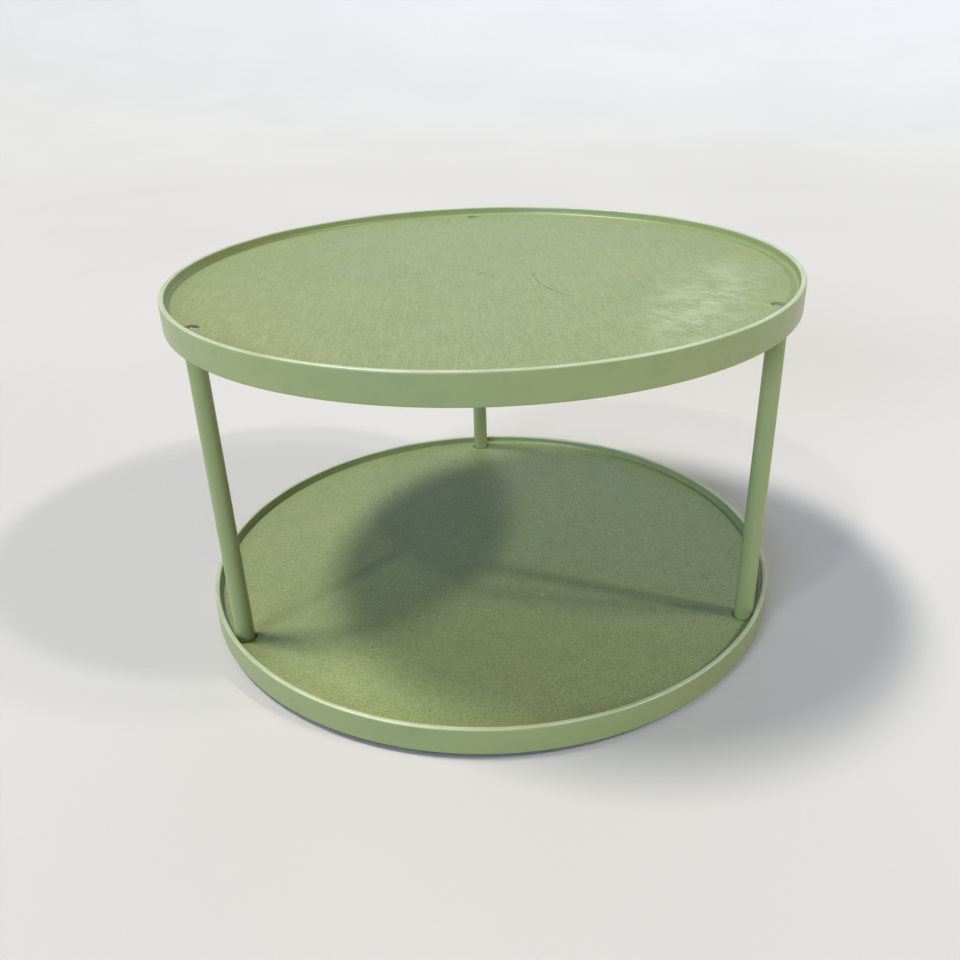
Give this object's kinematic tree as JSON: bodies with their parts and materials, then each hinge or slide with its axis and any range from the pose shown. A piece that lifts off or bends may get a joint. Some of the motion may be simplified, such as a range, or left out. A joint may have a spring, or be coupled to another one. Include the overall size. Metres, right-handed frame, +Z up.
{
  "type": "two-tier turntable",
  "caption": "Round tiered turntable: rimmed plastic trays joined by slim posts, turning together on a ball-bearing base plate with rubber foot pads.",
  "frame": {"origin": "on the turning axis, on the surface that the foot pads stand on", "axes": "+Z up along the turning axis; -Y towards the open front, between the left and right posts; +X to the right"},
  "size_m": [0.27, 0.27, 0.1566],
  "materials": {
    "tray_plastic": "sage green moulded plastic, fine matte grain on the floors, satin rims",
    "post_plastic": "sage green moulded plastic, smooth satin",
    "base_plastic": "green moulded plastic, plain and unpolished",
    "cage_plastic": "natural off-white moulded plastic",
    "pad_rubber": "black non-slip rubber",
    "screw_steel": "zinc-plated steel",
    "ball_steel": "polished bearing steel"
  },
  "bodies": {
    "base": {"base_plate": "base_plastic", "foot_pad_1": "pad_rubber", "foot_pad_2": "pad_rubber", "foot_pad_3": "pad_rubber", "foot_pad_4": "pad_rubber"},
    "race": {"ball_cage": "cage_plastic", "ball_01": "ball_steel", "ball_02": "ball_steel", "ball_03": "ball_steel", "ball_04": "ball_steel", "ball_05": "ball_steel", "ball_06": "ball_steel", "ball_07": "ball_steel", "ball_08": "ball_steel", "ball_09": "ball_steel", "ball_10": "ball_steel", "ball_11": "ball_steel", "ball_12": "ball_steel"},
    "turntable": {"lower_tray": "tray_plastic", "upper_tray": "tray_plastic", "post_back": "post_plastic", "post_left": "post_plastic", "post_right": "post_plastic", "top_screw_back": "screw_steel", "top_screw_left": "screw_steel", "top_screw_right": "screw_steel", "foot_screw_back": "screw_steel", "foot_screw_left": "screw_steel", "foot_screw_right": "screw_steel", "pivot_screw": "screw_steel", "pivot_washer": "screw_steel"}
  },
  "joints": [
    {"name": "turntable_spin", "type": "hinge", "parent": "base", "child": "turntable", "pos_m": [0, 0, 0.0056], "axis": [0, 0, 1], "continuous": true},
    {"name": "race_spin", "type": "hinge", "parent": "base", "child": "race", "pos_m": [0, 0, 0.0056], "axis": [0, 0, 1], "continuous": true}
  ],
  "couplings": [
    {"joint": "race_spin", "follows": "turntable_spin", "ratio": 0.5}
  ]
}
